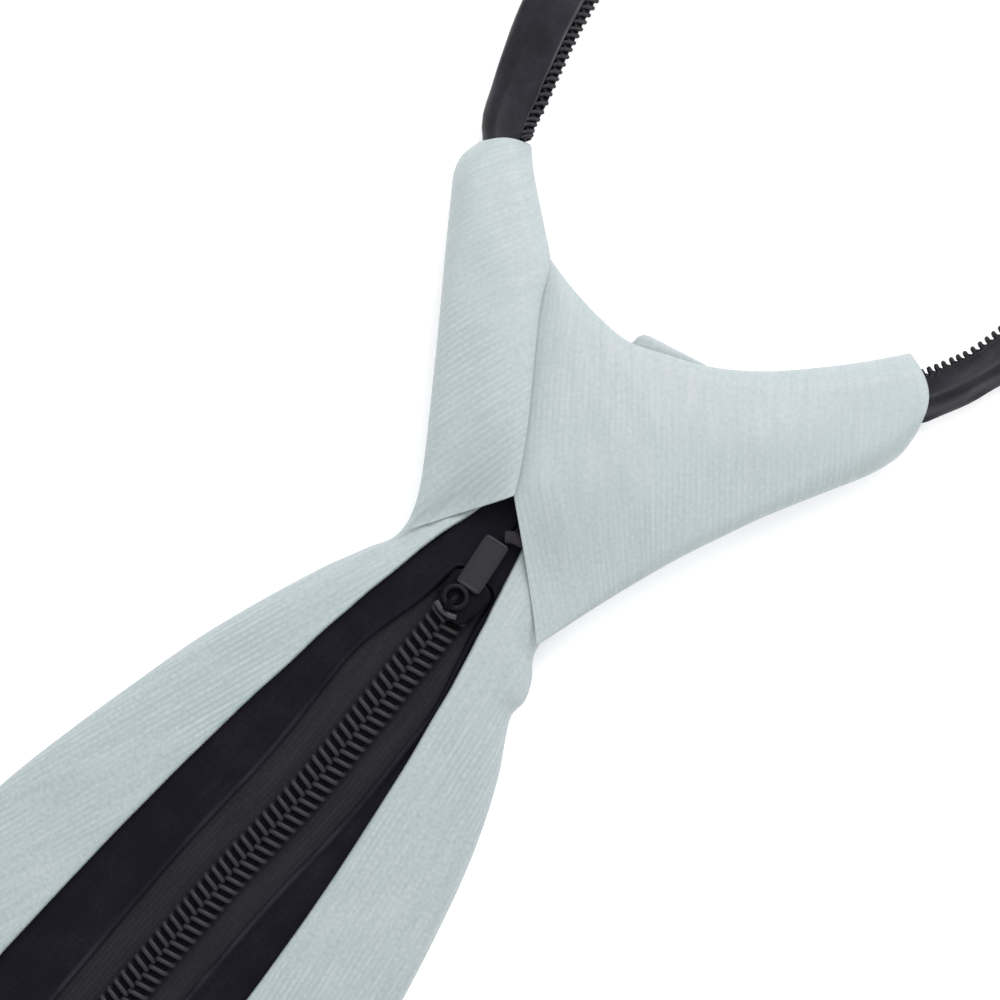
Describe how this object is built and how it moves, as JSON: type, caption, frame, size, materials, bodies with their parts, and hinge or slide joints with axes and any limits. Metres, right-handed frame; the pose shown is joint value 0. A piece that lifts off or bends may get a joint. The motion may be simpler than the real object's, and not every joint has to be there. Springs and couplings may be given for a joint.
{
  "type": "pre-tied zip necktie",
  "caption": "Zip necktie lying face down: cloth blade folded round a closed zip, two wings at the knot, and a neck loop of bound zip halves.",
  "frame": {"origin": "on the front face of the knot, under the point where the two wings part", "axes": "+Y along the tie from its tip towards the neck loop, +Z out of its back, +X across it"},
  "size_m": [0.1173, 0.6599, 0.0178],
  "materials": {
    "ribbed_cloth": "finely ribbed cloth with a soft sheen",
    "black_satin": "black satin",
    "zip_tape": "woven tape, matt",
    "zip_coil": "half gloss",
    "dark_metal": "dark painted metal, half matt"
  },
  "bodies": {
    "root": {"blade": "ribbed_cloth", "tip_lining": "ribbed_cloth", "knot_band": "ribbed_cloth", "left_wing": "ribbed_cloth", "right_wing": "ribbed_cloth", "knot_tuck": "ribbed_cloth", "left_placket": "black_satin", "right_placket": "black_satin", "left_tape": "zip_tape", "right_tape": "zip_tape", "left_coil": "zip_coil", "right_coil": "zip_coil", "left_neck_strap": "black_satin", "right_neck_strap": "black_satin", "left_neck_coil": "zip_coil", "right_neck_coil": "zip_coil", "tail_end": "black_satin", "nape_sleeve": "black_satin", "slider": "dark_metal", "pull_tab": "dark_metal", "pull_tape": "zip_tape"}
  },
  "joints": []
}
